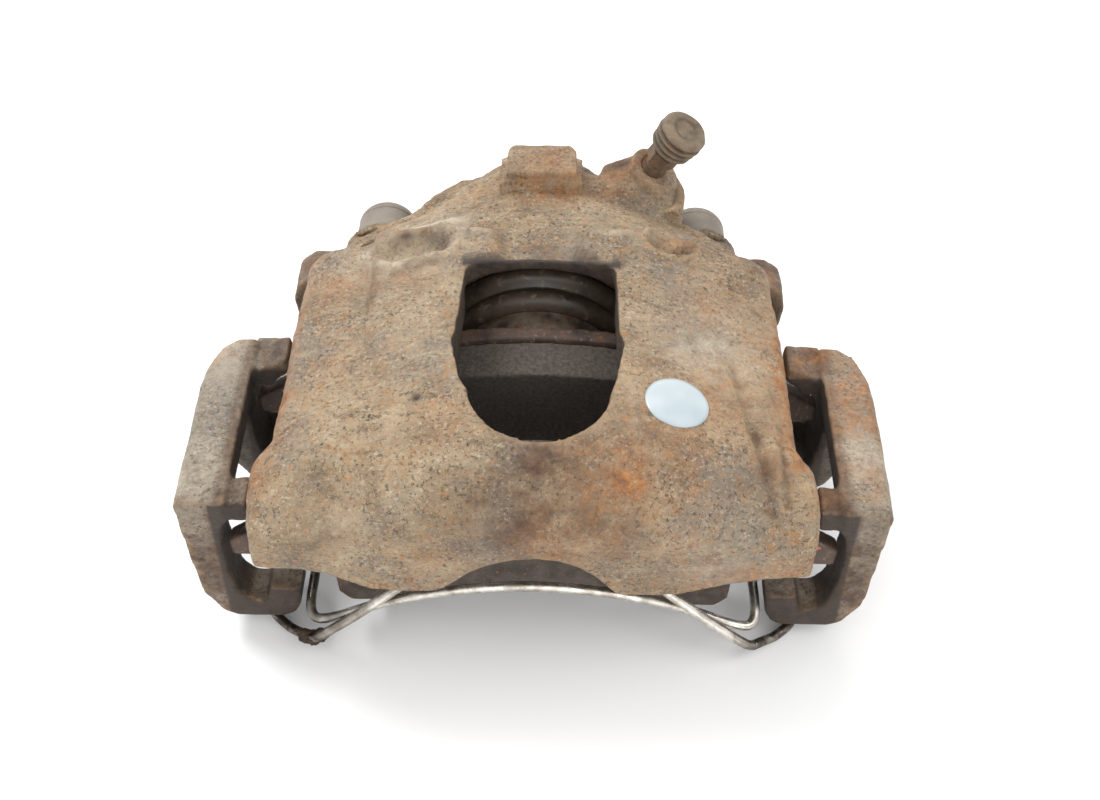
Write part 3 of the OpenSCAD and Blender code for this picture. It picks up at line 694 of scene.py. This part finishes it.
PISTON_R, BOOT_T = 28.5, 1.1  # the piston's radius and the boot's thickness
BOOT_LINE = [
    (-0.9, 42.8), (1.4, 42.9), (3.0, 43.6), (3.7, 45.2), (3.4, 47), (2.4, 48.4), (2.3, 49.8),
    (3.8, 50.7), (5.6, 51.6), (6.3, 53.2), (5.8, 54.8), (4.5, 55.6), (3.3, 56.4), (2.7, 57.8),
    (2.7, 59.4)]  # height over the piston, and Y


def make_boot():
    line = rounded(BOOT_LINE, 2, closed=False) + [PISTON_R, 0]
    d = np.gradient(line, axis=0)
    d /= np.linalg.norm(d, axis=1)[:, None]
    off = np.stack([-d[:, 1], d[:, 0]], 1) * BOOT_T / 2
    outline = np.concatenate([line + off, (line - off)[::-1]])
    obj = turned("boot_folds", [tuple(q) for q in outline], along_y(0, AXIS_Z), 120)
    mesh = obj.data
    p, n = drawing(mesh), normals(mesh)
    put(mesh, p + n * (0.06 * fbm(p, 7, 2, 101))[:, None])
    finish_piece(obj, None, "boot_rubber", boot_rubber, "dust_boot")
    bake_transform(obj)


# ---------------------------------------------------------------- bleed screw cap and guide caps
BLEED = (Matrix.Translation(BLEED_AT) @ Matrix.Rotation(math.radians(-27), 4, "Z")
         @ Matrix.Rotation(math.radians(29), 4, "Y"))


def make_bleed_cap():
    base = 10.4  # the cap's lower edge, along the screw
    outline = [
        (3.5, 0), (6.2, 0), (7.1, 0.4), (7.3, 1.4), (5.6, 1.8), (5.6, 2.5), (7.5, 2.8), (7.6, 3.9),
        (5.9, 4.3), (5.9, 5.0), (7.8, 5.3), (7.9, 6.3), (6.2, 6.7), (6.2, 7.3), (7.7, 7.6), (7.6, 8.7),
        (6.7, 9.6), (4.2, 9.75), (3.7, 9.3), (0.0, 9.3), (0.0, 7.5), (3.5, 7.5)]
    smooth = rounded(outline, 1)
    smooth[:, 0] = np.where(smooth[:, 0] < 0.95, 0, smooth[:, 0])
    obj = turned("bleed_cap_ribbed", [(r, h + base) for r, h in smooth], BLEED, 72)
    mesh = obj.data
    p, n = drawing(mesh), normals(mesh)
    put(mesh, p + n * (0.16 * fbm(p, 3, 3, 111))[:, None])
    axis = np.array((BLEED.to_3x3() @ Vector((0, 0, 1))))
    q = p - np.array(BLEED.translation)
    up = q @ axis - base
    out = np.linalg.norm(q - (q @ axis)[:, None] * axis, axis=1)
    # painted shade in the grooves between the ribs and round the edge of the dent in the top
    groove_shade = 1.2 * sum(hump(up, h, 0.55) for h in (2.15, 4.65, 7.0)) * (out > 4.5)
    groove_shade += 0.7 * hump(out, 3.9, 0.5) * (up > 9)
    store(mesh, dark=groove_shade * (0.75 + 0.5 * fbm(p, 3, 2, 117)))
    finish_piece(obj, "bleed_cap", "cap_rubber", cap_rubber, "bleed_cap")


def make_guide_cap(sign, name, node):
    outline = [
        (0, 100), (7.6, 100), (7.6, 94.4), (8.85, 94.4), (8.85, 97.05), (9.9, 97.05), (9.9, 98.2),
        (9.75, 99.4), (9.2, 100.6), (8.2, 101.6), (6.8, 102.2), (5.0, 102.45), (0, 102.45)]
    obj = turned(name, outline, along_y(sign * PIN_X, PIN_Z), 72)
    mesh = obj.data
    p, n = drawing(mesh), normals(mesh)
    put(mesh, p + n * (ease(p[:, 1], 97.4, 99) * 0.10 * fbm(p, 5, 2, 121))[:, None])
    finish_piece(obj, node, "cap_plastic", bush_rubber, node)


# ---------------------------------------------------------------- retaining spring
# The right half of the wire. Its arm ends in the housing and its loop goes round the carrier's leg.
WIRE_R = 1.5
ARM = [(38.5, -37.5, 37), (38.5, -37.5, 24.5), (40, -38.4, 22.4), (44.5, -39.6, 19), (52, -41, 12.8),
       (60, -42, 6.4), (64, -42.2, 3.2), (66.2, -41.4, 1.5)]
LOOP = [(66.2, -41.4, 1.5), (69.4, -38.6, -0.4), (74, -35.2, -1.9), (79, -30, -2.2), (80.5, -24, -2.2),
        (80, -19.5, -2), (77.5, -17, -0.6), (74, -16.6, 2.4), (70.5, -16.8, 5), (67.6, -18.4, 6.6),
        (67, -22, 7.2), (67, -31, 7.4), (66.4, -35.2, 6), (64, -37.2, 5.6), (58, -37.6, 7.6),
        (48, -37.6, 12.8), (36, -37.6, 17.6), (24, -37.6, 21), (12, -37.6, 23), (0, -37.6, 23.8)]


def curve_through(corners, steps=6):
    """A smooth line through every point of a coarse one."""
    p = np.array(corners, float)
    p = np.concatenate([[2 * p[0] - p[1]], p, [2 * p[-1] - p[-2]]])
    out = []
    for k in range(1, len(p) - 2):
        a, b, c, d = p[k - 1:k + 3]
        for t in np.arange(steps) / steps:
            out.append(0.5 * (2 * b + (c - a) * t + (2 * a - 5 * b + 4 * c - d) * t * t
                              + (3 * b - a - 3 * c + d) * t ** 3))
    return np.array(out + [p[-2]])


def tube(name, line, radius, sides=16):
    """A round wire along a line in mm, with dirt at its left bend, and darker at its low bends and at
    the loop's far end.
    """
    tangents = np.gradient(line, axis=0)
    tangents /= np.linalg.norm(tangents, axis=1)[:, None]
    across = np.cross(tangents[0], [0.1, 0.2, 1.0])
    bm = bmesh.new()
    rings = []
    for c, t in zip(line, tangents):
        across = across - t * (across @ t)
        across /= np.linalg.norm(across)
        other = np.cross(t, across)
        rings.append([bm.verts.new(Vector(c + radius * (math.cos(a) * across + math.sin(a) * other)))
                      for a in np.arange(sides) * 2 * math.pi / sides])
    for one, two in zip(rings, rings[1:]):
        for k in range(sides):
            bm.faces.new((one[k], one[(k + 1) % sides], two[(k + 1) % sides], two[k]))
    bm.faces.new(rings[0][::-1])
    bm.faces.new(rings[-1])
    bmesh.ops.recalc_face_normals(bm, faces=bm.faces)
    mesh = bpy.data.meshes.new(name)
    bm.to_mesh(mesh)
    bm.free()
    put(mesh, points(mesh))
    smooth_faces(mesh)
    obj = new_object(name, mesh)
    x, y, z = drawing(mesh).T
    low_bends = 0.9 * ease(z, 6, 1) * ease(np.abs(x), 58, 64)
    left_bend = 0.6 * (x < 0) * hump(x, -64, 8)
    store(mesh, dark=low_bends + left_bend + 0.35 * hump(y, -20, 6))
    return obj


def make_spring():
    wire = wire_metal()
    loop = np.array(LOOP, float)
    left = loop * [-1, 1, 1]
    middle = tube("spring_wire", curve_through(np.concatenate([left, loop[::-1][1:]])), WIRE_R)
    finish_piece(middle, "carrier", "wire_steel", wire, "retaining_spring")
    for sign, name in ((-1, "spring_arm_left"), (1, "spring_arm_right")):
        arm = tube(name, curve_through(np.array(ARM) * [sign, 1, 1]), WIRE_R)
        finish_piece(arm, None, "wire_steel", wire, "retaining_spring")
        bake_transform(arm)
    # dirt caked on the left bend
    bm = bmesh.new()
    bmesh.ops.create_icosphere(bm, subdivisions=5, radius=1.0)
    mesh = bpy.data.meshes.new("spring_dirt")
    bm.to_mesh(mesh)
    bm.free()
    p = points(mesh)
    lumps = 1 + 0.30 * fbm(p * 10, 5, 3, 131) + 0.16 * fbm(p * 10, 1.4, 3, 141)
    p = p * lumps[:, None] * [5.2, 2.3, 1.9]
    p[:, 2] += 0.35 * np.abs(p[:, 0])
    put(mesh, p + [-66.0, -40.6, 0.7])
    smooth_faces(mesh)
    finish_piece(new_object("spring_dirt", mesh), "carrier", "wire_steel", dirt)


# ---------------------------------------------------------------- sticker
def make_sticker(housing):
    """A plain round label that lies on the housing's finished surface."""
    tree = BVHTree.FromObject(housing, bpy.context.evaluated_depsgraph_get())
    centre, radius, rings, spokes = np.array([39.5, -12.5]), 9.0, 9, 64
    bm = bmesh.new()

    def on_skin(x, y, lift):
        """The housing's upper surface there, evened out over five rays, and that much above it."""
        heights = []
        for dx, dy in ((0, 0), (1.2, 0), (-1.2, 0), (0, 1.2), (0, -1.2)):
            hit = tree.ray_cast(Vector(row(x + dx, y + dy, 130)), Vector((0, 0, -1)))[0]
            heights.append((hit.z - DATUM[2]) * 1000)
        return Vector(row(x, y, float(np.mean(heights)) + lift))

    top = [[bm.verts.new(on_skin(*centre, 0.32))]]
    for k in range(1, rings + 1):
        r = radius * k / rings
        lift = 0.32 if k < rings else 0.22
        circle = [(r * math.cos(a), r * math.sin(a)) for a in np.arange(spokes) * 2 * math.pi / spokes]
        top.append([bm.verts.new(on_skin(centre[0] + dx, centre[1] + dy, lift)) for dx, dy in circle])
    skirt = [bm.verts.new(v.co - Vector((0, 0, 0.0006))) for v in top[-1]]
    for k in range(spokes):
        j = (k + 1) % spokes
        bm.faces.new((top[0][0], top[1][k], top[1][j]))
        for a, b in zip(top[1:], top[2:] + [skirt]):
            bm.faces.new((a[k], b[k], b[j], a[j]))
    bm.faces.new(skirt[::-1])
    bmesh.ops.recalc_face_normals(bm, faces=bm.faces)
    mesh = bpy.data.meshes.new("sticker")
    bm.to_mesh(mesh)
    bm.free()
    smooth_faces(mesh)
    finish_piece(new_object("sticker", mesh), "housing", "housing_iron", sticker_film())


# ---------------------------------------------------------------- the object
housing = make_housing()
make_carrier()
make_pad_piece("inner_pad_plate", "piston", "plate_steel", plate_paint, 3, 0.10)
make_pad_piece("outer_pad_plate", "outer_pad", "plate_steel", plate_paint, 3, 0.10)
make_pad_piece("inner_pad_friction", "piston", "friction", friction_mix, 2, 0.12)
make_pad_piece("outer_pad_friction", "outer_pad", "friction", friction_mix, 2, 0.12)
make_boot()
make_bleed_cap()
make_guide_cap(-1, "guide_dome_left", "guide_cap_left")
make_guide_cap(1, "guide_dome_right", "guide_cap_right")
make_spring()
make_sticker(housing)

# CAD nodes that stay as they are and take a material
for material, nodes in (
        (piston_steel, ["piston"]),
        (seal_rubber, ["piston_seal"]),
        (strip_steel, ["boot_ring", "inner_pad_clip", "inner_pad_shim", "outer_pad_shim"]),
        (pin_steel, ["guide_pin_left", "guide_pin_right"]),
        (bush_rubber, ["guide_bush_left", "guide_bush_right"]),
        (bleed_steel, ["bleed_screw"])):
    for node in nodes:
        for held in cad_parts[node].material_slots:
            held.material = material

# ---------------------------------------------------------------- floor, light and camera
floor_mesh = bpy.data.meshes.new("floor")
floor_corners = [(x, y, FLOOR_Z) for x, y in ((-6, -6), (6, -6), (6, 6), (-6, 6))]
floor_mesh.from_pydata(floor_corners, [], [(0, 1, 2, 3)])
floor = new_object("floor", floor_mesh)
paper = Surface("floor_paper", roughness=0.55)
white = paper.ramp(paper.noise(3, 2, 0.4), (0.3, (0.86, 0.86, 0.86, 1)), (0.7, (0.90, 0.90, 0.90, 1)))
floor_mesh.materials.append(paper.done(white))

world = bpy.data.worlds.new("studio")
world.use_nodes = True
sky = world.node_tree.nodes["Background"]
sky.inputs["Color"].default_value = (1.0, 1.0, 1.0, 1)
sky.inputs["Strength"].default_value = 0.88
scene = bpy.context.scene
scene.world = world
scene.view_settings.view_transform = "Standard"


def softbox(name, place, power, size):
    """A square lamp that faces the middle of the part."""
    lamp = bpy.data.lights.new(name, "AREA")
    lamp.energy = power
    lamp.size = size
    obj = bpy.data.objects.new(name, lamp)
    scene.collection.objects.link(obj)
    obj.location = place
    toward = Vector((0, -0.05, 0.03)) - Vector(place)
    obj.rotation_euler = toward.to_track_quat("-Z", "Y").to_euler()


softbox("key", (-0.60, 0.35, 0.8), 9.0, 0.45)
softbox("front", (0.15, -1.0, 0.35), 6.5, 1.0)
softbox("back", (0.1, 0.9, 0.7), 3.0, 0.7)
softbox("fill", (0.65, -0.25, 0.7), 2.4, 0.6)

# the camera that was fitted to the photograph's outlines, with its place in metres
EYE = (0.005, -0.380, 0.3725)
DOWN, YAW, ROLL = math.radians(46.13), math.radians(-0.17), math.radians(0.88)
ahead = Vector((math.sin(YAW) * math.cos(DOWN), math.cos(YAW) * math.cos(DOWN), -math.sin(DOWN)))
right = Vector((math.cos(YAW), -math.sin(YAW), 0))
above = right.cross(ahead)
level = right * math.cos(ROLL) + above * math.sin(ROLL)
upright = above * math.cos(ROLL) - right * math.sin(ROLL)
lens = bpy.data.cameras.new("camera")
lens.lens = 50.0
lens.sensor_width = 36.0
lens.clip_start = 0.01
camera = bpy.data.objects.new("camera", lens)
scene.collection.objects.link(camera)
turn = Matrix((level, upright, -ahead)).transposed().to_4x4()
camera.matrix_world = Matrix.Translation(EYE) @ turn
scene.camera = camera
